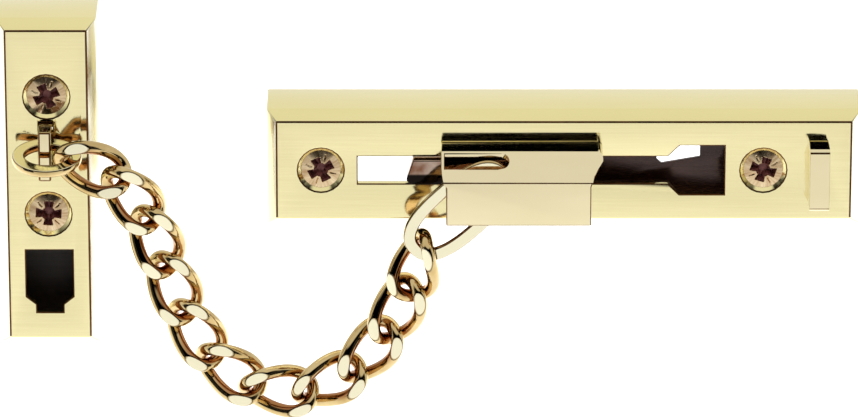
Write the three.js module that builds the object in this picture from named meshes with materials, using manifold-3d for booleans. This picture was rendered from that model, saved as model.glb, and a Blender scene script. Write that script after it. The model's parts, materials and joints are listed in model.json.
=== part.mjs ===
// Door chain guard: a slide rail and a frame plate joined by a curb-link chain, with a sliding knob.
// Millimetres. +X runs along the rail, +Y points into the door, +Z is up.
// Origin: middle of the lower rear rim of the rail plate, on the plane that screws against the door.
import * as THREE from 'three';
import { mergeVertices } from 'three/addons/utils/BufferGeometryUtils.js';
import Module from 'manifold-3d';

const wasm = await Module();
wasm.setup();

// ---- driving dimensions -------------------------------------------------------------------
const PLATE_DEPTH = 14.5; // rear plane to front face of both cast plates
const WALL = 2.0;
const BEVEL = { out: 2.0, deep: 2.5 };
const GAP = 0.3; // clearance between neighbouring pieces
const PUSH_FIT = 0.1; // clearance round the staple's legs

const RAIL = { halfLength: 60.3, halfHeight: 12.4, z: 11.4 };
const SLOT = { left: -41.8, right: 21.25, halfHeight: 2.92 };
const WINDOW = { left: 23.5, right: 32.6, halfHeight: 5.25 };
const RAIL_SCREW_X = [-49.3, 40.5];
const RIB = { x: 51.7, width: 4.0, bottom: -7.0, top: 6.3, proud: 5.7, round: 1.0 };
const RIB_TENON = { halfWidth: 1.2, inset: 3.0, behind: 0.6 };
const RAIL_BACKING = { left: -3, right: 47.5, halfHeight: 8.5, depth: 5.4, thickness: 1.0 };
const BACKING_CUT = [[19, 0.4], [20, -0.5], [27.8, 0.9], [27.8, 7.4], [19, 7.4]]; // about the rail's axis

const FRAME = { x: -104.74, halfWidth: 10.24, bottom: -38.4, top: 31.9 };
const FRAME_SCREW_Z = [15.8, -9.5];
const KEYHOLE = {
  halfWidth: 4.78, top: -17.4, shoulder: -27.5, slope: 0.8, neckHalfWidth: 2.7, bottom: -30.95,
};
const FRAME_BACKING = { halfWidth: 7.6, bottom: -34.6, top: -3.6, depth: 9.5, thickness: 1.0 };

const SCREW = {
  headRadius: 4.525, rim: 0.2, shankRadius: 2.0, behind: 15.5, tip: 4, recess: 2.3, arm: 2.35, bar: 0.62,
};
const BOSS_RADIUS = 5.2;
const HOLLOW_RADIUS = 1;

const STAPLE = { x: -105.0, bottom: -0.3, top: 10.3, leg: 1.8, width: 2.6, inner: 3.75, outer: 6.0 };
const ANCHOR_RING = { x: -104.5, z: 5.1, depth: 6.6, halfLength: 5.75, halfWidth: 4.6, tilt: 16 };

const WIRE = 2.7; // diameter of every chain wire
const WIRE_SIDES = 8;
const FLAT = 0.5; // depth ground off the front and back of every chain wire
const LINK = { halfLength: 7.1, halfWidth: 4.15, twist: 2.2 };
const LINK_PITCH = 11.0;
const CHAIN_START_X = STAPLE.x + 4.65;
const CHAIN_START_Z = 5.1;
const LINK_ANGLES = [-23, -56, -73, -71, -61, -40, -7, 26, 51, 65, 75]; // degrees above +X
const JOINT_DEPTHS = [6.6, 6.4, 5.2, 4.0, 3.8, 3.8, 3.8, 3.8, 3.8, 4.0, 5.2, 7.4]; // before the plates
const LINK_ROLLS = { 1: -8, 10: -6, 11: -30 }; // degrees about the link's own length
const END_RING = {
  halfLength: 12.0, halfWidth: 5.2, squareness: 2.5, angle: 43, contact: 11, touch: 1.7, depth: 7.4,
};

const KNOB = {
  left: -24.9, right: 7.8, top: 6.06, bottom: -7.6, clear: 0.3, edge: 5.5, front: 12.0, brow: 1.7,
};
const KNOB_FACE = { left: -23.9, right: 5.4 };
const KNOB_WALL = 1.6;
const RING_ROOM_RIGHT = -7.0; // the hollow half of the knob ends here
const RING_ROOM_CEILING = { nearDrop: 0.95, farRise: 0.2 }; // where the thin sloping wall begins
const RING_SLOT = { left: -24.3, right: -11.1, near: 5.9, far: 9.1 };
const TONGUE = { left: -32.0, right: -9.4, halfHeight: 2.65, foot: 4.0, front: 1.5 };
const HEAD = { centre: -13.85, halfLength: 4.4, halfHeight: 4.9, thickness: 1.8 };
const POST = { x: -18.0, z: -0.9, radius: 1.3 };
const RIVET = { x: -3.0, radius: 1.4, deep: 7.0, foot: 0.4 };

// ---- finishes ------------------------------------------------------------------------------
const finish = (color, roughness, metalness) => () => (
  new THREE.MeshStandardMaterial({ color, roughness, metalness })
);
const polishedBrass = finish(0xe6d59a, 0.12, 1.0);
const chainBrass = finish(0xd9c27c, 0.15, 1.0);
const bronze = finish(0x9c6b3f, 0.3, 1.0);
const blackened = finish(0x241f1c, 0.5, 0.6);

// ---- small tools ---------------------------------------------------------------------------
const radians = THREE.MathUtils.degToRad;
const frontY = (depth) => -PLATE_DEPTH - depth; // row Y of a point this far before the front faces

function toSolid(geometry) {
  const bare = geometry.index ? geometry : geometry.clone();
  bare.deleteAttribute('normal');
  bare.deleteAttribute('uv');
  const merged = mergeVertices(bare, 1e-4);
  return new wasm.Manifold(new wasm.Mesh({
    numProp: 3,
    vertProperties: new Float32Array(merged.attributes.position.array),
    triVerts: new Uint32Array(merged.index.array),
  }));
}

function toGeometry(solid) {
  const mesh = solid.getMesh();
  const geometry = new THREE.BufferGeometry();
  geometry.setAttribute('position', new THREE.BufferAttribute(mesh.vertProperties, 3));
  geometry.setIndex(new THREE.BufferAttribute(mesh.triVerts, 1));
  const flat = geometry.toNonIndexed();
  flat.computeVertexNormals();
  return flat;
}

// Box between two corners.
function box([x0, y0, z0], [x1, y1, z1]) {
  const geometry = new THREE.BoxGeometry(x1 - x0, y1 - y0, z1 - z0);
  geometry.translate((x0 + x1) / 2, (y0 + y1) / 2, (z0 + z1) / 2);
  return toSolid(geometry);
}

// Round bar or cone along Y, from yFront (radius rFront) to yBack (radius rBack).
function coneY(x, z, yFront, yBack, rFront, rBack = rFront, sides = 24) {
  const geometry = new THREE.CylinderGeometry(rBack, rFront, yBack - yFront, sides);
  geometry.translate(x, (yFront + yBack) / 2, z);
  return toSolid(geometry);
}

// Prism whose outline is drawn in X and Z, from yFront to yBack.
function prismY(shape, yFront, yBack, bevel = {}) {
  const settings = { depth: yBack - yFront, bevelEnabled: false, curveSegments: 4, ...bevel };
  const geometry = new THREE.ExtrudeGeometry(shape, settings);
  geometry.rotateX(Math.PI / 2);
  geometry.translate(0, yBack, 0);
  return toSolid(geometry);
}

function polygon(points) {
  return new THREE.Shape(points.map(([x, z]) => new THREE.Vector2(x, z)));
}

function roundedRectangle(x0, x1, z0, z1, r) {
  const shape = new THREE.Shape();
  shape.moveTo(x0 + r, z0);
  shape.absarc(x1 - r, z0 + r, r, -Math.PI / 2, 0);
  shape.absarc(x1 - r, z1 - r, r, 0, Math.PI / 2);
  shape.absarc(x0 + r, z1 - r, r, Math.PI / 2, Math.PI);
  shape.absarc(x0 + r, z0 + r, r, Math.PI, 1.5 * Math.PI);
  return shape;
}

function part(name, geometry, material) {
  const mesh = new THREE.Mesh(geometry, material());
  mesh.name = name;
  return mesh;
}

// ---- cast plates ---------------------------------------------------------------------------
// Open-backed box with a bevelled front edge; bosses carry the screws through the hollow.
function castPlate(x0, x1, z0, z1, screws) {
  const bevel = {
    bevelEnabled: true,
    bevelSegments: 1,
    bevelThickness: BEVEL.deep,
    bevelSize: BEVEL.out,
    bevelOffset: -BEVEL.out,
  };
  const outline = polygon([[x0, z0], [x1, z0], [x1, z1], [x0, z1]]);
  const body = prismY(outline, -PLATE_DEPTH + BEVEL.deep, 0, bevel)
    .subtract(box([x0 - 1, 0, z0 - 1], [x1 + 1, BEVEL.deep + 1, z1 + 1]));
  const hollow = roundedRectangle(x0 + WALL, x1 - WALL, z0 + WALL, z1 - WALL, HOLLOW_RADIUS);
  let plate = body.subtract(prismY(hollow, -PLATE_DEPTH + WALL, 1));
  for (const [x, z] of screws) {
    plate = plate.add(coneY(x, z, -PLATE_DEPTH + WALL - 0.5, 0, BOSS_RADIUS));
  }
  for (const [x, z] of screws) {
    const mouth = SCREW.headRadius + GAP;
    const bore = SCREW.shankRadius + 0.4;
    plate = plate.subtract(coneY(x, z, -PLATE_DEPTH - 1, 1, bore));
    plate = plate.subtract(coneY(x, z, -PLATE_DEPTH, -PLATE_DEPTH + mouth - bore, mouth, bore));
    plate = plate.subtract(coneY(x, z, -PLATE_DEPTH - 1, -PLATE_DEPTH, mouth));
  }
  return plate;
}

function railPlate() {
  const { halfLength, halfHeight, z } = RAIL;
  const screws = RAIL_SCREW_X.map((x) => [x, z]);
  const plate = castPlate(-halfLength, halfLength, z - halfHeight, z + halfHeight, screws);
  const slope = WINDOW.halfHeight - SLOT.halfHeight;
  const mouth = polygon([
    [SLOT.left, z - SLOT.halfHeight],
    [WINDOW.left - slope, z - SLOT.halfHeight],
    [WINDOW.left, z - WINDOW.halfHeight],
    [WINDOW.right, z - WINDOW.halfHeight],
    [WINDOW.right, z + WINDOW.halfHeight],
    [WINDOW.left, z + WINDOW.halfHeight],
    [WINDOW.left - slope, z + SLOT.halfHeight],
    [SLOT.left, z + SLOT.halfHeight],
  ]);
  const { halfWidth, inset } = RIB_TENON;
  const tenon = box(
    [RIB.x - halfWidth - GAP, -PLATE_DEPTH - 1, z + RIB.bottom + inset - GAP],
    [RIB.x + halfWidth + GAP, -PLATE_DEPTH + WALL + 1, z + RIB.top - inset + GAP],
  );
  return plate
    .subtract(prismY(mouth, -PLATE_DEPTH - 1, -PLATE_DEPTH + WALL + 1))
    .subtract(tenon);
}

function framePlate() {
  const { x, halfWidth, bottom, top } = FRAME;
  const z = RAIL.z;
  const screws = FRAME_SCREW_Z.map((s) => [x, z + s]);
  const plate = castPlate(x - halfWidth, x + halfWidth, z + bottom, z + top, screws);
  const fall = KEYHOLE.slope * (KEYHOLE.halfWidth - KEYHOLE.neckHalfWidth);
  const keyhole = polygon([
    [x - KEYHOLE.neckHalfWidth, z + KEYHOLE.bottom],
    [x + KEYHOLE.neckHalfWidth, z + KEYHOLE.bottom],
    [x + KEYHOLE.neckHalfWidth, z + KEYHOLE.shoulder - fall],
    [x + KEYHOLE.halfWidth, z + KEYHOLE.shoulder],
    [x + KEYHOLE.halfWidth, z + KEYHOLE.top],
    [x - KEYHOLE.halfWidth, z + KEYHOLE.top],
    [x - KEYHOLE.halfWidth, z + KEYHOLE.shoulder],
    [x - KEYHOLE.neckHalfWidth, z + KEYHOLE.shoulder - fall],
  ]);
  let cut = plate.subtract(prismY(keyhole, -PLATE_DEPTH - 1, -PLATE_DEPTH + WALL + 1));
  for (const [low, high] of stapleLegs()) {
    cut = cut.subtract(box(
      [STAPLE.x - STAPLE.width / 2 - PUSH_FIT, -PLATE_DEPTH - 1, z + low - PUSH_FIT],
      [STAPLE.x + STAPLE.width / 2 + PUSH_FIT, -PLATE_DEPTH + WALL + 1, z + high + PUSH_FIT],
    ));
  }
  return cut;
}

// Blackened sheet that slips over the right screw boss, with a cut-out beside the window.
function railBacking() {
  const { left, right, halfHeight, depth, thickness } = RAIL_BACKING;
  const z = RAIL.z;
  const sheet = box(
    [left, -PLATE_DEPTH + depth, z - halfHeight],
    [right, -PLATE_DEPTH + depth + thickness, z + halfHeight],
  );
  const notch = polygon(BACKING_CUT.map(([x, rise]) => [x, z + rise]));
  return sheet
    .subtract(prismY(notch, -PLATE_DEPTH, 0))
    .subtract(coneY(RAIL_SCREW_X[1], z, -PLATE_DEPTH, 0, BOSS_RADIUS + GAP));
}

// Blackened sheet behind the keyhole, slipped over the lower screw boss.
function frameBacking() {
  const { halfWidth, bottom, top, depth, thickness } = FRAME_BACKING;
  const z = RAIL.z;
  return box(
    [FRAME.x - halfWidth, -PLATE_DEPTH + depth, z + bottom],
    [FRAME.x + halfWidth, -PLATE_DEPTH + depth + thickness, z + top],
  ).subtract(coneY(FRAME.x, z + FRAME_SCREW_Z[1], -PLATE_DEPTH, 0, BOSS_RADIUS + GAP));
}

// Stop rib, held by a tenon in the rail's front wall.
function railRib() {
  const { x, width, bottom, top, proud, round } = RIB;
  const { halfWidth, inset, behind } = RIB_TENON;
  const z = RAIL.z;
  const outline = new THREE.Shape();
  outline.moveTo(z + bottom, 0);
  outline.lineTo(z + top, 0);
  outline.lineTo(z + top, proud - round);
  outline.absarc(z + top - round, proud - round, round, 0, Math.PI / 2);
  outline.lineTo(z + bottom + round, proud);
  outline.absarc(z + bottom + round, proud - round, round, Math.PI / 2, Math.PI);
  const settings = { depth: width, bevelEnabled: false, curveSegments: 4 };
  const geometry = new THREE.ExtrudeGeometry(outline, settings);
  // shape x -> +Z, shape y -> -Y, extrusion -> +X
  geometry.applyMatrix4(new THREE.Matrix4().makeBasis(
    new THREE.Vector3(0, 0, 1),
    new THREE.Vector3(0, -1, 0),
    new THREE.Vector3(1, 0, 0),
  ));
  geometry.translate(x - width / 2, -PLATE_DEPTH, 0);
  const tenon = box(
    [x - halfWidth, -PLATE_DEPTH - 0.5, z + bottom + inset],
    [x + halfWidth, -PLATE_DEPTH + WALL + behind, z + top - inset],
  );
  return toSolid(geometry).add(tenon);
}

// ---- screws --------------------------------------------------------------------------------
// Countersunk 4.5 x 30 wood screw with a cross recess; turned about its own axis by `turn` degrees.
function screw(x, z, turn) {
  const { headRadius, rim, shankRadius, behind, tip, recess, arm, bar } = SCREW;
  const cone = headRadius - shankRadius;
  const length = PLATE_DEPTH + behind;
  const profile = [
    [0, 0], [headRadius, 0], [headRadius, rim], [shankRadius, rim + cone],
    [shankRadius, length - tip], [0, length],
  ].map(([r, y]) => new THREE.Vector2(r, y));
  let body = toSolid(new THREE.LatheGeometry(profile, 24));
  for (const quarter of [0, 90]) {
    // blade that narrows inwards and has its stated size at the head's face
    const blade = new THREE.CylinderGeometry(0.4, 1.6, 2 * recess, 4, 1);
    blade.rotateY(Math.PI / 4);
    blade.scale(arm * Math.SQRT2, 1, bar * Math.SQRT2);
    blade.rotateY(radians(quarter));
    body = body.subtract(toSolid(blade));
  }
  const geometry = toGeometry(body);
  geometry.rotateY(radians(turn));
  geometry.translate(x, -PLATE_DEPTH, z);
  return geometry;
}

// ---- staple --------------------------------------------------------------------------------
function stapleLegs() {
  return [
    [STAPLE.bottom, STAPLE.bottom + STAPLE.leg],
    [STAPLE.top - STAPLE.leg, STAPLE.top],
  ];
}

function anchorStaple() {
  const z = RAIL.z;
  const half = STAPLE.width / 2;
  let staple = box(
    [STAPLE.x - half, frontY(STAPLE.outer), z + STAPLE.bottom],
    [STAPLE.x + half, frontY(STAPLE.inner), z + STAPLE.top],
  );
  for (const [low, high] of stapleLegs()) {
    staple = staple.add(box(
      [STAPLE.x - half, frontY(STAPLE.inner) - 0.5, z + low],
      [STAPLE.x + half, -PLATE_DEPTH + WALL + 0.3, z + high],
    ));
    staple = staple.add(box(
      [STAPLE.x - half - 0.6, -PLATE_DEPTH + WALL + 0.1, z + low],
      [STAPLE.x + half + 0.6, -PLATE_DEPTH + WALL + 1.3, z + high],
    ));
  }
  return staple;
}

// ---- chain ---------------------------------------------------------------------------------
// Closed wire loop in its own plane: an ellipse (squareness 2) or a squarer oval (above 2).
// Twist lifts the two long sides out of the plane, as in a curb link.
class LoopCurve extends THREE.Curve {
  constructor({ halfLength, halfWidth, twist = 0, squareness = 2 }) {
    super();
    Object.assign(this, { halfLength, halfWidth, twist, squareness });
  }

  getPoint(t, target = new THREE.Vector3()) {
    const a = 2 * Math.PI * t;
    const swell = (value) => Math.sign(value) * Math.abs(value) ** (2 / this.squareness);
    return target.set(
      this.halfLength * swell(Math.cos(a)),
      this.halfWidth * swell(Math.sin(a)),
      -this.twist * Math.sin(2 * a),
    );
  }
}

// Wire loop with its front and back ground flat, in its own axes: length, width, thickness.
function wireLoop(loop, steps) {
  const curve = new LoopCurve(loop);
  const tube = toSolid(new THREE.TubeGeometry(curve, steps, WIRE / 2, WIRE_SIDES, true));
  const reach = curve.halfLength + WIRE;
  const thick = curve.twist + WIRE / 2 - FLAT;
  return toGeometry(tube.intersect(box([-reach, -reach, -thick], [reach, reach, thick])));
}

// Turns a piece's own length, width and thickness to the given row directions.
function orient(mesh, centre, along, roll = 0) {
  const viewer = new THREE.Vector3(0, -1, 0);
  const u = along.clone().normalize();
  const f = viewer.addScaledVector(u, -viewer.dot(u)).normalize();
  const v = new THREE.Vector3().crossVectors(f, u);
  const turn = new THREE.Matrix4().makeBasis(u, v, f);
  turn.multiply(new THREE.Matrix4().makeRotationX(radians(roll)));
  mesh.quaternion.setFromRotationMatrix(turn);
  mesh.position.copy(centre);
  return mesh;
}

// Pivots between neighbouring chain pieces, from the anchor ring to the end ring.
function chainPivots() {
  let x = CHAIN_START_X;
  let z = RAIL.z + CHAIN_START_Z;
  const pivots = [new THREE.Vector3(x, frontY(JOINT_DEPTHS[0]), z)];
  LINK_ANGLES.forEach((degrees, i) => {
    const step = Math.sqrt(LINK_PITCH ** 2 - (JOINT_DEPTHS[i + 1] - JOINT_DEPTHS[i]) ** 2);
    x += step * Math.cos(radians(degrees));
    z += step * Math.sin(radians(degrees));
    pivots.push(new THREE.Vector3(x, frontY(JOINT_DEPTHS[i + 1]), z));
  });
  return pivots;
}

function chainLinks(pivots) {
  return LINK_ANGLES.map((_, i) => {
    const number = i + 1;
    const name = `chain_link_${String(number).padStart(2, '0')}`;
    const mesh = part(name, wireLoop(LINK, 28), chainBrass);
    const centre = pivots[i].clone().add(pivots[i + 1]).multiplyScalar(0.5);
    const along = pivots[i + 1].clone().sub(pivots[i]);
    return orient(mesh, centre, along, LINK_ROLLS[number] ?? 0);
  });
}

// Nearly level ring round the staple, its front edge tilted down.
function anchorRing() {
  const mesh = part('anchor_ring', wireLoop(ANCHOR_RING, 24), chainBrass);
  const tilt = radians(ANCHOR_RING.tilt);
  const u = new THREE.Vector3(1, 0, 0);
  const v = new THREE.Vector3(0, Math.cos(tilt), Math.sin(tilt));
  const f = new THREE.Vector3().crossVectors(u, v);
  mesh.quaternion.setFromRotationMatrix(new THREE.Matrix4().makeBasis(u, v, f));
  mesh.position.set(ANCHOR_RING.x, frontY(ANCHOR_RING.depth), RAIL.z + ANCHOR_RING.z);
  return mesh;
}

// Long oval ring that hangs on the slider's post and holds the last link.
function endRing(lastPivot) {
  const { halfLength, halfWidth, squareness, angle, contact, touch, depth } = END_RING;
  // point of the wire's centre line that lies furthest towards the last link
  const w = new THREE.Vector2(-Math.cos(radians(contact)), -Math.sin(radians(contact)));
  const power = squareness / (squareness - 1);
  const along = Math.abs(halfLength * w.x) ** power;
  const across = Math.abs(halfWidth * w.y) ** power;
  const edgeU = -halfLength * (along / (along + across)) ** (1 / squareness);
  const edgeV = -halfWidth * (across / (along + across)) ** (1 / squareness);
  const u = new THREE.Vector3(Math.cos(radians(angle)), 0, Math.sin(radians(angle)));
  const v = new THREE.Vector3(-u.z, 0, u.x);
  const centre = lastPivot.clone()
    .addScaledVector(u, w.x * touch - edgeU)
    .addScaledVector(v, w.y * touch - edgeV);
  centre.y = frontY(depth);
  return orient(part('end_ring', wireLoop(END_RING, 40), chainBrass), centre, u);
}

// ---- slider --------------------------------------------------------------------------------
// Side outline of the knob in (depth before the plate, height), extruded along X.
function knobProfile(points, x0, x1) {
  const shape = new THREE.Shape(points.map(([depth, height]) => new THREE.Vector2(depth, height)));
  const geometry = new THREE.ExtrudeGeometry(shape, { depth: x1 - x0, bevelEnabled: false });
  // shape x -> -Y, shape y -> +Z, extrusion -> -X
  geometry.applyMatrix4(new THREE.Matrix4().makeBasis(
    new THREE.Vector3(0, -1, 0),
    new THREE.Vector3(0, 0, 1),
    new THREE.Vector3(-1, 0, 0),
  ));
  geometry.translate(x1, -PLATE_DEPTH, RAIL.z);
  return toSolid(geometry);
}

function knobFront() {
  const z = RAIL.z;
  const shape = new THREE.Shape();
  shape.moveTo(KNOB_FACE.left, z + KNOB.bottom);
  shape.lineTo(KNOB_FACE.right, z + KNOB.bottom);
  shape.lineTo(KNOB_FACE.right, z + 0.8);
  shape.quadraticCurveTo(KNOB_FACE.right + 0.4, z + 2.6, KNOB.right, z + 4.6);
  shape.lineTo(KNOB.right, z + KNOB.top - 1);
  shape.absarc(KNOB.right - 1, z + KNOB.top - 1, 1, 0, Math.PI / 2);
  shape.lineTo(KNOB.left, z + KNOB.top);
  shape.lineTo(KNOB.left, z + 3.6);
  shape.quadraticCurveTo(KNOB.left + 0.2, z + 1.6, KNOB_FACE.left, z + 0.4);
  return shape;
}

function sliderKnob() {
  const z = RAIL.z;
  const { left, right, top, bottom, clear, edge, front, brow } = KNOB;
  const { nearDrop, farRise } = RING_ROOM_CEILING;
  const outside = knobProfile(
    [[clear, bottom], [front, bottom], [front, brow], [edge, top], [clear, top]],
    left - 1,
    right + 1,
  );
  const inside = knobProfile(
    [[-1, bottom - 1], [front - KNOB_WALL, bottom - 1], [front - KNOB_WALL, brow + farRise],
      [edge, top - nearDrop], [-1, top - nearDrop]],
    left - 2,
    RING_ROOM_RIGHT,
  );
  const slotEnd = (RING_SLOT.far - RING_SLOT.near) / 2;
  const slot = new THREE.Shape();
  slot.moveTo(RING_SLOT.left, RING_SLOT.near);
  slot.lineTo(RING_SLOT.right - slotEnd, RING_SLOT.near);
  slot.absarc(RING_SLOT.right - slotEnd, RING_SLOT.near + slotEnd, slotEnd, -Math.PI / 2, Math.PI / 2);
  slot.lineTo(RING_SLOT.left, RING_SLOT.far);
  const slotTool = new THREE.ExtrudeGeometry(slot, { depth: 8, bevelEnabled: false, curveSegments: 6 });
  // shape y is the depth before the plate (-Y), extrusion -> -Z
  slotTool.applyMatrix4(new THREE.Matrix4().makeBasis(
    new THREE.Vector3(1, 0, 0),
    new THREE.Vector3(0, -1, 0),
    new THREE.Vector3(0, 0, -1),
  ));
  slotTool.translate(0, -PLATE_DEPTH, z + 9);
  const footRecess = box(
    [RING_ROOM_RIGHT - 1, frontY(TONGUE.front + 0.1), z - TONGUE.halfHeight - 0.1],
    [TONGUE.foot + 0.1, frontY(-1), z + TONGUE.halfHeight + 0.1],
  );
  return outside
    .intersect(prismY(knobFront(), frontY(front + 1), frontY(-1)))
    .subtract(inside)
    .subtract(toSolid(slotTool))
    .subtract(footRecess)
    .subtract(coneY(RIVET.x, z, frontY(RIVET.deep + 0.2), frontY(0), RIVET.radius + 0.1));
}

// Guide tongue: runs in the slot, and its foot carries the knob in front of the wall.
function sliderTongue() {
  const z = RAIL.z;
  const { left, right, halfHeight, foot, front } = TONGUE;
  const outline = polygon([
    [left + 0.8, z - halfHeight], [right, z - halfHeight], [right, z + halfHeight],
    [left + 1.4, z + halfHeight], [left, z - halfHeight + 1],
  ]);
  const inSlot = prismY(outline, frontY(front), frontY(-WALL - 0.3));
  const footPlate = box(
    [right - 1, frontY(front), z - halfHeight],
    [foot, frontY(KNOB.clear), z + halfHeight],
  );
  return inSlot
    .add(footPlate)
    .subtract(coneY(RIVET.x, z, frontY(front + 1), frontY(-1), RIVET.radius + 0.1));
}

// Head that runs behind the rail's front wall and leaves it only at the window.
function sliderHead() {
  const z = RAIL.z;
  const back = WALL + 0.3;
  return box(
    [HEAD.centre - HEAD.halfLength, frontY(-back), z - HEAD.halfHeight],
    [HEAD.centre + HEAD.halfLength, frontY(-back - HEAD.thickness), z + HEAD.halfHeight],
  );
}

function sliderRivet() {
  const { x, radius, deep, foot } = RIVET;
  return coneY(x, RAIL.z, frontY(deep), frontY(foot), radius, radius, 16);
}

function ringPost() {
  const far = KNOB.front - KNOB_WALL;
  return coneY(POST.x, RAIL.z + POST.z, frontY(far), frontY(TONGUE.front), POST.radius, POST.radius, 16);
}

// ---- assembly ------------------------------------------------------------------------------
const guard = new THREE.Group();
const pivots = chainPivots();
const add = (name, solid, material) => guard.add(part(name, toGeometry(solid), material));

add('rail_plate', railPlate(), polishedBrass);
add('rail_backing', railBacking(), blackened);
add('rail_rib', railRib(), polishedBrass);
add('frame_plate', framePlate(), polishedBrass);
add('frame_backing', frameBacking(), blackened);
add('anchor_staple', anchorStaple(), polishedBrass);
guard.add(part('rail_screw_left', screw(RAIL_SCREW_X[0], RAIL.z, -27), bronze));
guard.add(part('rail_screw_right', screw(RAIL_SCREW_X[1], RAIL.z, 18), bronze));
guard.add(part('frame_screw_upper', screw(FRAME.x, RAIL.z + FRAME_SCREW_Z[0], -24), bronze));
guard.add(part('frame_screw_lower', screw(FRAME.x, RAIL.z + FRAME_SCREW_Z[1], 3), bronze));
guard.add(anchorRing());
guard.add(...chainLinks(pivots));
guard.add(endRing(pivots.at(-1)));
add('slider_knob', sliderKnob(), polishedBrass);
add('slider_tongue', sliderTongue(), blackened);
add('slider_head', sliderHead(), blackened);
add('slider_rivet', sliderRivet(), polishedBrass);
add('ring_post', ringPost(), polishedBrass);

export default guard;
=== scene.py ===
"""Door chain guard: the looks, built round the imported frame.

Names ending in _MM are millimetres; everything handed to Blender is in metres.
+X runs along the slide rail, +Y points into the door, +Z is up.
"""

import json
import math

import bmesh
import bpy
import numpy as np
from mathutils import Matrix, Vector


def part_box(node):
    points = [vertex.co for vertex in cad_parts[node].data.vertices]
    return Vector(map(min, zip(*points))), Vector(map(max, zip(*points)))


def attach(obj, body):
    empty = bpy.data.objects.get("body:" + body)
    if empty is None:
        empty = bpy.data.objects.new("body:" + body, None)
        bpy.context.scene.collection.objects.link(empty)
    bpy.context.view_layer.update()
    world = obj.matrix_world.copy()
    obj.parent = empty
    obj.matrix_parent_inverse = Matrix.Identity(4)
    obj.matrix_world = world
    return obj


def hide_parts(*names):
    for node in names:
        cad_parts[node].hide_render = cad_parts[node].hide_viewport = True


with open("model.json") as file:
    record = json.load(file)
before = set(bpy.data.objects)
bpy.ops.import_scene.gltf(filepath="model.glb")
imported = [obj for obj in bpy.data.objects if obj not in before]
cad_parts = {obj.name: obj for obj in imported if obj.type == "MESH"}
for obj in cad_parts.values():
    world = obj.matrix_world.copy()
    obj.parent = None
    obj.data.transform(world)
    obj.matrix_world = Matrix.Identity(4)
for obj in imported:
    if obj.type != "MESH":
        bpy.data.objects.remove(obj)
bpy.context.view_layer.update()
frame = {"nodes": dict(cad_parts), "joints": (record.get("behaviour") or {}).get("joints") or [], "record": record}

MM = 0.001
NODE_BODY = {n: body for body, nodes in frame["record"]["behaviour"]["bodies"].items() for n in nodes}
PIVOTS = {j["name"]: Vector(j["pos_m"]) for j in frame["joints"] if j["type"] == "hinge"}
FRONT_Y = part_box("rail_plate")[0].y
PLATE_WALL = 2.0 * MM
BEVEL_OUT = 2.0 * MM
# height below which the guide is painted near black, painted shade inside the rail
TONGUE_SHADE_BELOW = (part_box("rail_plate")[0].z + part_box("rail_plate")[1].z) / 2 - 0.6 * MM

# ---- chain sizes, as in the CAD model -----------------------------------------------------
WIRE_MM = 2.7
GROUND_MM = 0.56  # depth ground off the front and back of each wire
FACET_EDGE_MM = 0.12  # how softly a ground flat runs out
SHADE_RIM_MM = 0.09  # how far below a flat the painted dark rim runs round it; the rim is painted shade for the dark studio reflected where the flat runs out
LINK_MM = {"half_length": 7.1, "half_width": 4.15, "twist": 2.2}
END_RING_MM = {"half_length": 12.0, "half_width": 5.2, "squareness": 2.5}
ANCHOR_RING_MM = {"half_length": 5.75, "half_width": 4.6}
END_RING_ANGLE = 43
ANCHOR_RING_TILT = 16
LINK_COUNT = 11
LINK_ROLLS = {1: -8, 10: -6, 11: -30}

# ---- rounding of edges --------------------------------------------------------------------
SHORTEST_EDGE = 0.9 * MM  # shorter edges stay sharp
SHARP_EDGE_DEGREES = 28
SHADED_SHARP_DEGREES = 32
FLAT_DEGREES = 0.6
WALL_SKIN = 0.5 * MM  # faces deeper than this inside a piece's box belong to its hollow
FRONT_NORMAL = 0.985  # faces turned to the viewer at least this much are front faces

# ---- screws -------------------------------------------------------------------------------
SCREW_TURNS = {
    "rail_screw_left": -27,
    "rail_screw_right": 18,
    "frame_screw_upper": -24,
    "frame_screw_lower": 3,
}
HEAD_MM = 4.525
DOME_MM = 4.0
DOME_DROP_MM = 0.76
DOME_POWER = 1.35
CORE_MM = 1.5
CREST_MM = 2.22
THREAD_PITCH_MM = 2.2
NECK_END_MM = 12.0
TIP_LENGTH_MM = 5.0
COLUMNS_ROUND = 144
ROW_STEP_MM = 0.14
RECESS_MM = {"arm": 2.62, "arm_half_width": 0.52, "arm_flare": 0.2, "hub": 1.45, "deep": 1.9}
TICK_MM = {"from": 1.9, "to": 3.3, "half_width": 0.13, "deep": 0.16}


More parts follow.
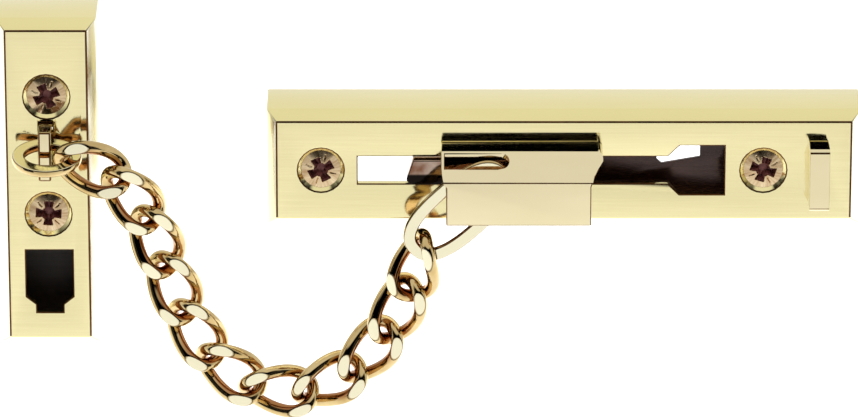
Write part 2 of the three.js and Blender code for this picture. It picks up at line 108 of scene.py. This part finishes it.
# ---- materials ----------------------------------------------------------------------------
class Material:
    """A Principled material with helpers for procedural variation in the row frame."""

    def __init__(self, name, color, roughness, metallic=1.0):
        self.material = bpy.data.materials.new(name)
        self.material.use_nodes = True
        self.nodes = self.material.node_tree.nodes
        self.links = self.material.node_tree.links
        self.shader = self.nodes["Principled BSDF"]
        self.shader.inputs["Base Color"].default_value = (*color, 1)
        self.shader.inputs["Roughness"].default_value = roughness
        self.shader.inputs["Metallic"].default_value = metallic
        self.place = self.nodes.new("ShaderNodeTexCoord").outputs["Object"]

    def noise(self, per_metre, detail=3.0):
        """Noise whose grain is finer along an axis with a larger number."""
        stretch = self.nodes.new("ShaderNodeMapping")
        stretch.inputs["Scale"].default_value = per_metre
        self.links.new(self.place, stretch.inputs["Vector"])
        noise = self.nodes.new("ShaderNodeTexNoise")
        noise.inputs["Scale"].default_value = 1.0
        noise.inputs["Detail"].default_value = detail
        self.links.new(stretch.outputs["Vector"], noise.inputs["Vector"])
        return noise.outputs["Fac"]

    def spread(self, factor, low, high):
        """Maps a factor that is mostly between 0.3 and 0.7 to low..high."""
        ramp = self.nodes.new("ShaderNodeMapRange")
        ramp.inputs["From Min"].default_value = 0.3
        ramp.inputs["From Max"].default_value = 0.7
        ramp.inputs["To Min"].default_value = low
        ramp.inputs["To Max"].default_value = high
        self.links.new(factor, ramp.inputs["Value"])
        return ramp.outputs["Result"]

    def attribute(self, name, output="Fac"):
        node = self.nodes.new("ShaderNodeAttribute")
        node.attribute_name = name
        return node.outputs[output]

    def mix(self, factor, low, high):
        """Blend of two colours, each given as numbers or as another node's output."""
        mix = self.nodes.new("ShaderNodeMix")
        mix.data_type = "RGBA"
        self.links.new(factor, mix.inputs["Factor"])
        for socket, color in (("A", low), ("B", high)):
            if isinstance(color, tuple):
                mix.inputs[socket].default_value = (*color, 1)
            else:
                self.links.new(color, mix.inputs[socket])
        return mix.outputs["Result"]

    def color_between(self, factor, low, high):
        blend = self.mix(self.spread(factor, 0.0, 1.0), low, high)
        self.links.new(blend, self.shader.inputs["Base Color"])
        return self

    def roughness_between(self, factor, low, high):
        self.links.new(self.spread(factor, low, high), self.shader.inputs["Roughness"])
        return self

    def bump(self, factor, strength, depth_mm):
        bump = self.nodes.new("ShaderNodeBump")
        bump.inputs["Strength"].default_value = strength
        bump.inputs["Distance"].default_value = depth_mm * MM
        self.links.new(factor, bump.inputs["Height"])
        self.links.new(bump.outputs["Normal"], self.shader.inputs["Normal"])
        return self


def plate_brass():
    """Lacquered brass with a fine grain along the rail."""
    m = Material("plate_brass", (0.86, 0.775, 0.43), 0.1)
    brushed = m.noise((60, 900, 2600), 4)
    m.color_between(brushed, (0.83, 0.745, 0.4), (0.89, 0.805, 0.46))
    m.roughness_between(brushed, 0.06, 0.14)
    return m.bump(brushed, 0.05, 0.01).material


def polished_shaded_flank_brass():
    """The same brass, polished smooth on the bevels and flanks, its colour made deeper as painted shade."""
    m = Material("polished_shaded_flank_brass", (0.84, 0.745, 0.36), 0.12)
    m.color_between(m.noise((20, 60, 90)), (0.82, 0.725, 0.34), (0.87, 0.775, 0.39))
    return m.roughness_between(m.noise((60, 700, 700)), 0.09, 0.16).material


def knob_brass():
    """Smoother, slightly paler brass of the knob and the stop rib."""
    m = Material("knob_brass", (0.8, 0.7, 0.44), 0.05)
    satin = m.noise((200, 2400, 2400), 4)
    m.color_between(m.noise((60, 60, 160)), (0.785, 0.685, 0.42), (0.82, 0.72, 0.46))
    m.roughness_between(satin, 0.02, 0.07)
    return m.bump(satin, 0.03, 0.006).material


def edge_shade_brass():
    """Painted shade: the narrow rounded edges round the fronts, darkened to stand in for the dark studio they
    reflect.
    """
    m = Material("edge_shade_brass", (0.12, 0.05, 0.015), 0.35)
    m.color_between(m.noise((180, 180, 180)), (0.07, 0.026, 0.008), (0.2, 0.09, 0.03))
    return m.roughness_between(m.noise((900, 900, 900)), 0.28, 0.45).material


def side_highlight_brass():
    """Ends and undersides painted near white: a painted highlight for the bright studio they reflect."""
    m = Material("side_highlight_brass", (0.92, 0.88, 0.7), 0.14)
    m.color_between(m.noise((60, 60, 25)), (0.9, 0.855, 0.66), (0.94, 0.905, 0.75))
    return m.roughness_between(m.noise((300, 700, 80)), 0.1, 0.18).material


def cast_brass():
    """Unpolished inside of the castings."""
    m = Material("cast_brass", (0.5, 0.36, 0.16), 0.5)
    sand = m.noise((1500, 1500, 1500), 5)
    m.color_between(m.noise((120, 120, 120)), (0.42, 0.3, 0.13), (0.58, 0.43, 0.2))
    m.roughness_between(sand, 0.42, 0.62)
    return m.bump(sand, 0.5, 0.06).material


def chain_brass():
    """Bright drawn wire with paler ground flats; browner towards the inside of each loop, partly tarnish where no
    wheel reaches and partly painted shade, and browner on the back facing the plates as painted shade; a painted
    dark rim round each flat stands in for the dark studio it reflects.
    """
    m = Material("chain_brass", (0.86, 0.74, 0.45), 0.05)
    scratches = m.noise((3200, 900, 700), 4)
    drawn = m.mix(m.spread(m.noise((220, 220, 220)), 0, 1), (0.5, 0.35, 0.14), (0.7, 0.54, 0.27))
    ground = m.mix(m.attribute("ground"), drawn, (0.9, 0.84, 0.6))
    # painted shade with tarnish: browner inside each loop and on the backs facing the plates
    tarnished_and_shaded = m.mix(m.attribute("tarnish_and_shade"), ground, (0.36, 0.16, 0.055))
    # painted shade: near-black rim round each ground flat
    rim_shaded = m.mix(m.attribute("shade_rim"), tarnished_and_shaded, (0.035, 0.018, 0.01))
    m.links.new(rim_shaded, m.shader.inputs["Base Color"])
    m.roughness_between(scratches, 0.03, 0.1)
    return m.bump(scratches, 0.06, 0.012).material


def bronze():
    """Bronze-plated screw head and shank, turned to a fine radial shimmer."""
    m = Material("bronze", (0.62, 0.47, 0.28), 0.16)
    mottle = m.noise((520, 520, 520), 4)
    m.place = m.attribute("spokes", "Vector")
    strokes = m.noise((6, 6, 1), 3)
    m.color_between(strokes, (0.42, 0.26, 0.13), (0.76, 0.61, 0.38))
    m.roughness_between(mottle, 0.12, 0.24)
    return m.bump(strokes, 0.1, 0.03).material


def inner_brass():
    """Browned brass of the knob's hollow."""
    m = Material("inner_brass", (0.5, 0.25, 0.09), 0.22, 0.35)
    m.color_between(m.noise((420, 300, 300)), (0.3, 0.11, 0.035), (0.72, 0.38, 0.15))
    return m.roughness_between(m.noise((900, 900, 900)), 0.16, 0.3).material


def recess_shade_bronze():
    """Painted shade inside the cross recess: a dark, reddish copy of the head's bronze plating."""
    m = Material("recess_shade_bronze", (0.16, 0.045, 0.045), 0.45, 0.3)
    m.color_between(m.noise((900, 900, 900)), (0.14, 0.036, 0.036), (0.3, 0.11, 0.09))
    return m.roughness_between(m.noise((1500, 1500, 1500)), 0.35, 0.55).material


def blackened(name, low, high, roughness):
    """Blackened sheet steel with faint rolling marks."""
    m = Material(name, low, roughness, 0.4)
    rolled = m.noise((90, 400, 1600), 4)
    m.color_between(m.noise((40, 60, 90)), low, high)
    m.roughness_between(rolled, roughness - 0.08, roughness + 0.08)
    return m.bump(rolled, 0.08, 0.015).material


def tongue_steel():
    """Dark polished guide with a painted reflection: brown and greyish-brown patches above, painted near-black
    shade below the middle of the rail.
    """
    m = Material("tongue_steel", (0.3, 0.22, 0.15), 0.12)
    drawn = m.noise((120, 1500, 1500), 4)
    # painted reflection: brown and greyish-brown patches
    reflection_patches = m.mix(m.spread(m.noise((230, 160, 260)), 0, 1), (0.2, 0.09, 0.05), (0.55, 0.45, 0.37))
    split = m.nodes.new("ShaderNodeSeparateXYZ")
    m.links.new(m.place, split.inputs["Vector"])
    upper = m.nodes.new("ShaderNodeMapRange")
    upper.inputs["From Min"].default_value = TONGUE_SHADE_BELOW
    upper.inputs["From Max"].default_value = TONGUE_SHADE_BELOW + 0.4 * MM
    m.links.new(split.outputs["Z"], upper.inputs["Value"])
    # painted shade: near black below the rail's middle, the painted reflection patches above it
    shaded_below = m.mix(upper.outputs["Result"], (0.012, 0.009, 0.008), reflection_patches)
    m.links.new(shaded_below, m.shader.inputs["Base Color"])
    m.roughness_between(drawn, 0.06, 0.16)
    return m.bump(drawn, 0.05, 0.01).material


PLATE = plate_brass()
KNOB = knob_brass()
# edge material: painted shade, dark brown on the narrow edges that reflect the dark studio
EDGE_SHADE = edge_shade_brass()
# flank material: polished brass in a deeper copy of the plate colour, painted shade
SHADED_FLANK = polished_shaded_flank_brass()
# side material: painted highlight, near-white brass on the ends and undersides
SIDE_HIGHLIGHT = side_highlight_brass()
CAST = cast_brass()
CHAIN = chain_brass()
BRONZE = bronze()
RECESS_SHADE = recess_shade_bronze()
INNER = inner_brass()
RAIL_BLACK = blackened("rail_backing_black", (0.035, 0.016, 0.013), (0.1, 0.05, 0.04), 0.24)
FRAME_BLACK = blackened("frame_backing_black", (0.04, 0.034, 0.032), (0.052, 0.045, 0.042), 0.6)
TONGUE = tongue_steel()


# ---- making pieces ------------------------------------------------------------------------
def add_piece(name, mesh, materials, node):
    """Puts a finished mesh, drawn in the row frame, in the place of a CAD node."""
    for material in materials:
        mesh.materials.append(material)
    piece = bpy.data.objects.new(name, mesh)
    bpy.context.scene.collection.objects.link(piece)
    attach(piece, NODE_BODY[node])
    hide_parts(node)
    return piece


def softened(node, edge_mm, segments=3):
    """A node's solid with its longer sharp edges rounded, inner corners included, shaded smooth."""
    mesh = frame["nodes"][node].data.copy()
    mesh.materials.clear()
    work = bmesh.new()
    work.from_mesh(mesh)
    bmesh.ops.remove_doubles(work, verts=work.verts, dist=0.002 * MM)
    flat = math.radians(FLAT_DEGREES)
    bmesh.ops.dissolve_limit(work, angle_limit=flat, verts=work.verts, edges=work.edges)
    edges = [
        e
        for e in work.edges
        if len(e.link_faces) == 2
        and e.calc_face_angle(0) > math.radians(SHARP_EDGE_DEGREES)
        and e.calc_length() > SHORTEST_EDGE
    ]
    bmesh.ops.bevel(
        work,
        geom=edges,
        offset=edge_mm * MM,
        offset_type="OFFSET",
        segments=segments,
        profile=0.5,
        affect="EDGES",
        clamp_overlap=False,
    )
    work.to_mesh(mesh)
    work.free()
    mesh.shade_smooth()
    mesh.set_sharp_from_angle(angle=math.radians(SHADED_SHARP_DEGREES))
    return mesh


def paint(mesh, choose):
    """Gives each face the material index that choose returns for it."""
    for face in mesh.polygons:
        face.material_index = choose(face)


def plate(node, edge_mm=0.24):
    """A casting: brushed front, polished flanks in a deeper copy of the brass that is painted shade, painted dark
    shade on the edges round the front, ends and undersides painted pale as a painted highlight, raw inside.
    """
    low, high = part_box(node)
    mesh = softened(node, edge_mm)
    near = 0.3 * MM  # margin for telling strips and walls apart

    def within(c, margin):
        return low.x + margin < c.x < high.x - margin and low.z + margin < c.z < high.z - margin

    def choose(face):
        c = face.center
        if within(c, PLATE_WALL - near) and c.y > FRONT_Y + PLATE_WALL - near:
            return 3
        if face.normal.y < -FRONT_NORMAL:
            return 0
        if within(c, BEVEL_OUT + 2 * near):
            # index 1: flank brass with its painted shade; index 2: painted dark shade on the front-edge strips
            return 1 if c.y > FRONT_Y + near else 2
        beside = min(c.x - low.x, high.x - c.x) > BEVEL_OUT - near and c.z > low.z + BEVEL_OUT + near
        at_side = min(c.x - low.x, high.x - c.x) < BEVEL_OUT + near
        above = abs(high.z - BEVEL_OUT - c.z) < near
        # strips round the front edge take the painted edge shade
        if c.y < FRONT_Y + near and (above or (beside and at_side)):
            return 2
        # index 4: ends and undersides take the painted pale highlight; index 1: flanks with their painted shade
        return 4 if abs(face.normal.x) > 0.5 or face.normal.z < -0.5 else 1

    paint(mesh, choose)
    return add_piece(f"{node}_shell", mesh, [PLATE, SHADED_FLANK, EDGE_SHADE, CAST, SIDE_HIGHLIGHT], node)


def trimmed(node, name, edge_mm, material, edge=None, inside=None):
    """A node's softened solid; its front edges may take the painted edge shade, and its hollow may have its own
    finish.
    """
    mesh = softened(node, edge_mm)
    low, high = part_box(node)

    def choose(face):
        c = face.center
        turned = 0.3 < -face.normal.y < FRONT_NORMAL and face.normal.z > -0.3
        # front-edge strips take the edge material, which is painted shade
        if edge and turned and c.y < low.y + edge_mm * MM:
            return 1
        buried = low.x + WALL_SKIN < c.x < high.x - WALL_SKIN and c.y > low.y + WALL_SKIN
        towards_middle = face.normal.z * ((low.z + high.z) / 2 - c.z) > 0 or face.normal.y > 0.5
        if inside and buried and c.y < high.y - 0.1 * MM and (towards_middle or abs(face.normal.x) > 0.7):
            return 2
        return 0

    paint(mesh, choose)
    return add_piece(name, mesh, [m for m in (material, edge, inside) if m], node)


def grid_mesh(name, points, closed_rows, flip=False):
    """Quads over a (rows, columns, 3) array of points; columns always close on themselves."""
    rows, columns = points.shape[:2]
    index = np.arange(rows * columns).reshape(rows, columns)
    if closed_rows:
        index = np.vstack([index, index[:1]])
    index = np.hstack([index, index[:, :1]])
    quads = np.stack([index[:-1, :-1], index[1:, :-1], index[1:, 1:], index[:-1, 1:]], -1).reshape(-1, 4)
    if flip:
        quads = quads[:, ::-1]
    mesh = bpy.data.meshes.new(name)
    mesh.from_pydata(points.reshape(-1, 3).tolist(), [], quads.tolist())
    return mesh


# ---- chain --------------------------------------------------------------------------------
def soft_limit(value, limit, run):
    """value where it is below limit, limit above it, with a rounded change of the given run."""
    near = np.maximum(run - np.abs(value - limit), 0) / run
    return np.minimum(value, limit) - near**2 * run / 4


def wire_points(half_length, half_width, twist=0.0, squareness=2.0, steps=192, sides=64):
    """A closed wire loop with ground flats, in its own millimetres: length, width, thickness."""
    t = np.linspace(0, 2 * math.pi, steps, endpoint=False)

    def swell(value):
        return np.sign(value) * np.abs(value) ** (2 / squareness)

    def line(t):
        x = half_length * swell(np.cos(t))
        y = half_width * swell(np.sin(t))
        return np.stack([x, y, -twist * np.sin(2 * t)], -1)

    if squareness != 2.0:
        # even steps along the squarer oval, so that its tight stretches keep their points
        dense = line(np.linspace(0, 2 * math.pi, 8 * steps + 1))
        run = np.concatenate([[0], np.cumsum(np.linalg.norm(np.diff(dense, axis=0), axis=1))])
        even = np.linspace(0, run[-1], steps, endpoint=False)
        centre = np.stack([np.interp(even, run, dense[:, k]) for k in range(3)], -1)
    else:
        centre = line(t)
    tangent = np.roll(centre, -1, 0) - np.roll(centre, 1, 0)
    tangent /= np.linalg.norm(tangent, axis=1, keepdims=True)
    side = np.cross(tangent, [0, 0, 1])
    side /= np.linalg.norm(side, axis=1, keepdims=True)
    up = np.cross(side, tangent)
    angle = np.linspace(0, 2 * math.pi, sides, endpoint=False)[None, :, None]
    radius = WIRE_MM / 2
    points = centre[:, None] + radius * (np.cos(angle) * side[:, None] + np.sin(angle) * up[:, None])
    limit = twist + radius - GROUND_MM
    height = np.abs(points[..., 2]) - limit
    ground = np.clip(height / FACET_EDGE_MM + 0.3, 0, 1)
    # painted shade: dark rim just below each flat's edge
    shade_rim = np.clip(1.25 - np.abs(height + SHADE_RIM_MM) / SHADE_RIM_MM, 0, 1)
    points[..., 2] = soft_limit(points[..., 2], limit, FACET_EDGE_MM)
    points[..., 2] = -soft_limit(-points[..., 2], limit, FACET_EDGE_MM)
    return points, ground, shade_rim


def wire_piece(node, name, sizes, turn, centre):
    """A wire loop in the place of a chain node; turn is its 3 x 3 rotation."""
    points, ground, shade_rim = wire_points(**sizes)
    points = points * MM
    flat_centre = points.mean(axis=1, keepdims=True)
    outward = (points - flat_centre) / (WIRE_MM / 2 * MM)
    radial = flat_centre[..., :2] / np.linalg.norm(flat_centre[..., :2], axis=-1, keepdims=True)
    # inner_side: inside of each loop, tarnish with painted shade; back_side: the side facing the plates, painted
    # shade
    inner_side = -(outward[..., :2] * radial).sum(-1) * 1.5 - 0.15
    points = points @ np.array(turn).T + np.array(centre)
    back_side = (outward @ np.array(turn).T)[..., 1] * 1.6 - 0.25
    tarnish_and_shade = np.clip(np.maximum(inner_side * (1 - ground), back_side), 0, 1)
    mesh = grid_mesh(name, points, closed_rows=True)
    marks = {"tarnish_and_shade": tarnish_and_shade, "ground": ground, "shade_rim": shade_rim}
    for label, values in marks.items():
        mesh.attributes.new(label, "FLOAT", "POINT").data.foreach_set("value", values.ravel())
    mesh.shade_smooth()
    return add_piece(name, mesh, [CHAIN], node)


def facing(along, roll=0.0):
    """Rotation whose first axis is along and whose third faces the viewer in front of the plates."""
    u = along.normalized()
    viewer = Vector((0, -1, 0))
    f = (viewer - u * viewer.dot(u)).normalized()
    v = f.cross(u)
    basis = Matrix((u, v, f)).transposed()
    return basis @ Matrix.Rotation(math.radians(roll), 3, "X")


def middle(node):
    low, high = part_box(node)
    return (low + high) / 2


def chain():
    names = [f"chain_link_{i:02d}" for i in range(1, LINK_COUNT + 1)]
    pivots = [PIVOTS[f"{name}_swing"] for name in [*names, "end_ring"]]
    for number, name in enumerate(names, 1):
        a, b = pivots[number - 1], pivots[number]
        turn = facing(b - a, LINK_ROLLS.get(number, 0.0))
        wire_piece(name, f"link_{number:02d}", LINK_MM, turn, (a + b) / 2)
    angle = math.radians(END_RING_ANGLE)
    turn = facing(Vector((math.cos(angle), 0, math.sin(angle))))
    wire_piece("end_ring", "long_ring", END_RING_MM, turn, middle("end_ring"))
    tilt = math.radians(ANCHOR_RING_TILT)
    across = Vector((0, math.cos(tilt), math.sin(tilt)))
    along = Vector((1, 0, 0))
    turn = Matrix((along, across, along.cross(across))).transposed()
    wire_piece("anchor_ring", "staple_ring", ANCHOR_RING_MM, turn, middle("anchor_ring"))


# ---- screws -------------------------------------------------------------------------------
def recess_depth(x, z):
    """Depth of the domed face, its cross recess and four tick marks, in millimetres."""
    radius = np.hypot(x, z)
    along = np.maximum(np.abs(x), np.abs(z))
    across = np.minimum(np.abs(x), np.abs(z))
    half_width = RECESS_MM["arm_half_width"] + RECESS_MM["arm_flare"] * along
    arm = np.minimum(RECESS_MM["arm"] - along, half_width - across)
    inside = np.maximum(arm, RECESS_MM["hub"] - radius)
    cross = np.clip(inside * 3.0, 0, RECESS_MM["deep"])
    tick_line = TICK_MM["half_width"] - np.abs(np.abs(x) - np.abs(z)) / math.sqrt(2)
    tick = np.minimum(tick_line, np.minimum(radius - TICK_MM["from"], TICK_MM["to"] - radius))
    dome = DOME_DROP_MM * (radius / DOME_MM) ** DOME_POWER
    return cross + np.clip(tick * 2.0, 0, TICK_MM["deep"]) + dome


def screw(node):
    """A screw with a domed cross-recess head, a plain neck and a threaded, pointed end."""
    low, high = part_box(node)
    centre = middle(node)
    length = (high.y - low.y) / MM
    columns = COLUMNS_ROUND
    angle = np.linspace(0, 2 * math.pi, columns, endpoint=False)
    face_radii = np.concatenate([np.linspace(0.02, 3.1, 54), np.linspace(3.18, DOME_MM, 10)])
    rows = []
    for r in face_radii:
        x, z = r * np.cos(angle), r * np.sin(angle)
        rows.append(np.stack([x, recess_depth(x, z), z], -1))
    neck_start = HEAD_MM - CORE_MM - 0.25
    under_head = np.linspace(DOME_DROP_MM + 0.1, neck_start, 12)
    shank = np.arange(neck_start + ROW_STEP_MM, length, ROW_STEP_MM)
    for y in [*under_head, *shank, length]:
        smooth = np.clip(HEAD_MM - y, CORE_MM + 0.25, DOME_MM)
        taper = np.clip((length - y) / TIP_LENGTH_MM, 0.0, 1.0) ** 0.8
        if y > NECK_END_MM:
            phase = (y / THREAD_PITCH_MM - angle / (2 * math.pi)) % 1.0
            ridge = np.clip(1 - np.abs(phase - 0.5) * 5, 0, 1)
            start = np.clip((y - NECK_END_MM) / 1.5, 0, 1)
            radius = (CORE_MM + (CREST_MM - CORE_MM) * ridge * start) * taper + 0.02
        else:
            radius = np.full(columns, smooth)
        rows.append(np.stack([radius * np.cos(angle), np.full(columns, y), radius * np.sin(angle)], -1))
    points = np.array(rows)
    spread = np.hypot(points[..., 0], points[..., 2])
    spokes = np.stack([points[..., 0] / spread, points[..., 2] / spread, points[..., 1]], -1)
    turn = math.radians(SCREW_TURNS[node])
    x, z = points[..., 0].copy(), points[..., 2].copy()
    points[..., 0] = x * math.cos(turn) + z * math.sin(turn)
    points[..., 2] = z * math.cos(turn) - x * math.sin(turn)
    points = points * MM + np.array([centre.x, low.y, centre.z])
    mesh = grid_mesh(node, points, closed_rows=False, flip=True)
    mesh.attributes.new("spokes", "FLOAT_VECTOR", "POINT").data.foreach_set("vector", spokes.ravel())
    work = bmesh.new()
    work.from_mesh(mesh)
    bmesh.ops.holes_fill(work, edges=[e for e in work.edges if e.is_boundary], sides=0)
    bmesh.ops.recalc_face_normals(work, faces=work.faces)
    work.to_mesh(mesh)
    work.free()
    axis = Vector((centre.x, centre.z))
    for f in mesh.polygons:
        off_axis = (Vector((f.center.x, f.center.z)) - axis).length / MM
        below_dome = (f.center.y - low.y) / MM - DOME_DROP_MM * (off_axis / DOME_MM) ** DOME_POWER
        # faces down in the cross recess take the painted recess shade
        f.material_index = 1 if 0.28 < below_dome < 2.3 and off_axis < 3.0 else 0
    mesh.shade_smooth()
    mesh.set_sharp_from_angle(angle=math.radians(40))
    return add_piece(f"{node}_cut", mesh, [BRONZE, RECESS_SHADE], node)


# ---- assembly -----------------------------------------------------------------------------
plate("rail_plate")
plate("frame_plate")
trimmed("rail_rib", "stop_rib", 0.22, KNOB, EDGE_SHADE)
trimmed("slider_knob", "knob", 0.24, KNOB, EDGE_SHADE, INNER)
trimmed("anchor_staple", "staple", 0.4, KNOB, EDGE_SHADE)
trimmed("rail_backing", "rail_sheet", 0.1, RAIL_BLACK)
trimmed("frame_backing", "frame_sheet", 0.1, FRAME_BLACK)
trimmed("slider_tongue", "tongue", 0.25, TONGUE)
trimmed("slider_head", "guide_head", 0.3, TONGUE)
trimmed("slider_rivet", "rivet", 0.15, BRONZE)
trimmed("ring_post", "post", 0.15, KNOB)
chain()
for screw_node in SCREW_TURNS:
    screw(screw_node)


# ---- studio -------------------------------------------------------------------------------
FLOOR_BELOW = 0.30
FLOOR_SIDE = 12.0
CAMERA_ELEVATION = math.radians(20.6)
CAMERA_DISTANCE = 1.5
CAMERA_LENS_MM = 309.5
AIM_X = -27.35 * MM
AIM_BELOW_RAIL = 8.3 * MM


def floor():
    mesh = bpy.data.meshes.new("floor")
    half = FLOOR_SIDE / 2
    corners = [(-half, -half, 0), (half, -half, 0), (half, half, 0), (-half, half, 0)]
    mesh.from_pydata(corners, [], [(0, 1, 2, 3)])
    piece = bpy.data.objects.new("floor", mesh)
    piece.location.z = -FLOOR_BELOW
    bpy.context.scene.collection.objects.link(piece)
    m = Material("pale_floor", (0.86, 0.86, 0.86), 0.9, 0.0)
    m.color_between(m.noise((3, 3, 3)), (0.855, 0.855, 0.855), (0.865, 0.865, 0.865))
    mesh.materials.append(m.material)


def studio_world():
    """A white studio whose camera side is dark between the table and the softbox overhead."""
    world = bpy.data.worlds.new("studio")
    bpy.context.scene.world = world
    world.use_nodes = True
    nodes, links = world.node_tree.nodes, world.node_tree.links
    split = nodes.new("ShaderNodeSeparateXYZ")
    links.new(nodes.new("ShaderNodeTexCoord").outputs["Generated"], split.inputs["Vector"])
    height = nodes.new("ShaderNodeValToRGB")
    height.color_ramp.interpolation = "EASE"
    stops = [(0.0, 1.0), (0.01, 1.0), (0.035, 0.0), (0.66, 0.0), (0.78, 0.9)]
    ramp = height.color_ramp.elements
    while len(ramp) < len(stops):
        ramp.new(0.5)
    for element, (place, level) in zip(ramp, stops):
        element.position = place
        element.color = (level, level, level, 1)
    links.new(split.outputs["Z"], height.inputs["Fac"])
    front = nodes.new("ShaderNodeMapRange")
    front.inputs["From Min"].default_value = -0.45
    front.inputs["From Max"].default_value = -0.2
    links.new(split.outputs["Y"], front.inputs["Value"])
    level = nodes.new("ShaderNodeMix")
    level.data_type = "RGBA"
    level.inputs["B"].default_value = (0.92, 0.92, 0.92, 1)
    links.new(front.outputs["Result"], level.inputs["Factor"])
    links.new(height.outputs["Color"], level.inputs["A"])
    links.new(level.outputs["Result"], nodes["Background"].inputs["Color"])
    nodes["Background"].inputs["Strength"].default_value = 1.0


def side_card(side):
    """A black card that draws the dark lines down upright edges and wires."""
    mesh = bpy.data.meshes.new("card")
    half, top = 0.26, 0.75
    mesh.from_pydata([(-half, 0, 0), (half, 0, 0), (half, 0, top), (-half, 0, top)], [], [(0, 1, 2, 3)])
    m = Material("card_black", (0.01, 0.01, 0.01), 0.9, 0.0)
    m.color_between(m.noise((5, 5, 5)), (0.008, 0.008, 0.008), (0.012, 0.012, 0.012))
    mesh.materials.append(m.material)
    card = bpy.data.objects.new("card", mesh)
    card.location = (side * 0.78, -0.58, -FLOOR_BELOW)
    card.rotation_euler = (0, 0, side * math.radians(53))
    bpy.context.scene.collection.objects.link(card)
    card.visible_camera = False


def key_light():
    """Broad overhead light that keeps the table white."""
    light = bpy.data.lights.new("key", "SUN")
    light.energy = 1.1
    light.angle = math.radians(70)
    key = bpy.data.objects.new("key", light)
    key.rotation_euler = (math.radians(8), 0, 0)
    key.visible_glossy = False
    bpy.context.scene.collection.objects.link(key)
    wide = bpy.data.lights.new("table_light", "AREA")
    wide.shape = "RECTANGLE"
    wide.size = 4.0
    wide.size_y = 1.0
    wide.energy = 32
    over = bpy.data.objects.new("table_light", wide)
    over.location = (0, 0.75, 0.55)
    over.visible_glossy = False
    over.visible_camera = False
    bpy.context.scene.collection.objects.link(over)


def camera():
    forward = Vector((0, math.cos(CAMERA_ELEVATION), -math.sin(CAMERA_ELEVATION)))
    aim = Vector((AIM_X, FRONT_Y, middle("rail_plate").z - AIM_BELOW_RAIL))
    lens = bpy.data.cameras.new("camera")
    lens.lens = CAMERA_LENS_MM
    lens.sensor_width = 36
    lens.clip_start = 0.01
    lens.clip_end = 50
    eye = bpy.data.objects.new("camera", lens)
    eye.location = aim - forward * CAMERA_DISTANCE
    eye.rotation_euler = forward.to_track_quat("-Z", "Y").to_euler()
    bpy.context.scene.collection.objects.link(eye)
    bpy.context.scene.camera = eye


floor()
side_card(-1)
side_card(1)
studio_world()
key_light()
camera()
bpy.context.scene.view_settings.view_transform = "Standard"
